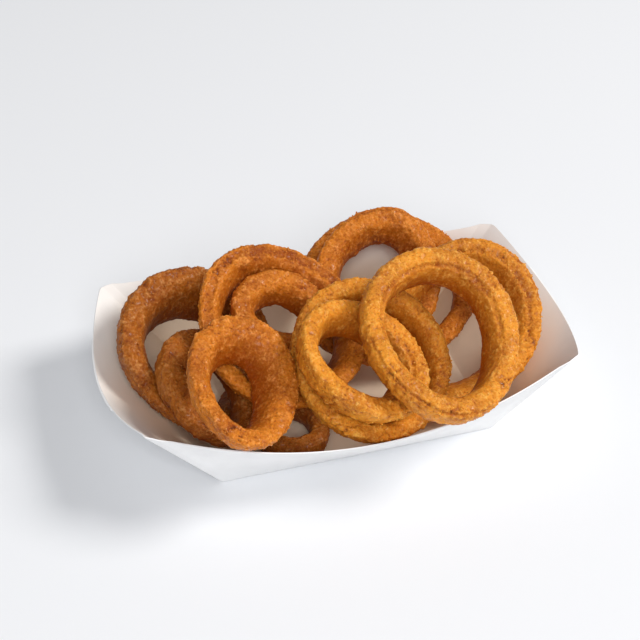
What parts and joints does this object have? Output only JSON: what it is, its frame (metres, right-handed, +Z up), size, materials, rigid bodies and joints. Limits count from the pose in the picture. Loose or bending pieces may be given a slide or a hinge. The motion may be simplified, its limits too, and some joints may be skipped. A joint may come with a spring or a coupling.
{
  "type": "paper boat tray of onion rings",
  "caption": "Open white paperboard boat tray with flared walls, heaped with battered fried onion rings that lean on each other.",
  "frame": {"origin": "middle of the underside of the tray's flat base, on the surface it stands on", "axes": "+X along the tray's length, +Y across it towards its back wall, +Z up out of the tray"},
  "size_m": [0.24, 0.1624, 0.0904],
  "materials": {
    "tray_board": "smooth matt white paperboard",
    "crust_gold": "grainy golden fried batter with a little oil sheen",
    "crust_amber": "grainy amber fried batter with a little oil sheen",
    "crust_brown": "grainy brown fried batter with a little oil sheen"
  },
  "bodies": {
    "root": {"tray": "tray_board", "ring_floor_front": "crust_brown", "ring_back_low": "crust_amber", "ring_left_low": "crust_brown", "ring_back_high": "crust_amber", "ring_left_mid": "crust_brown", "ring_right_rear": "crust_gold", "ring_top_left": "crust_amber", "ring_top_left_inner": "crust_amber", "ring_mid_outer": "crust_gold", "ring_front_left": "crust_amber", "ring_mid_inner": "crust_gold", "ring_right_front": "crust_gold"}
  },
  "joints": []
}
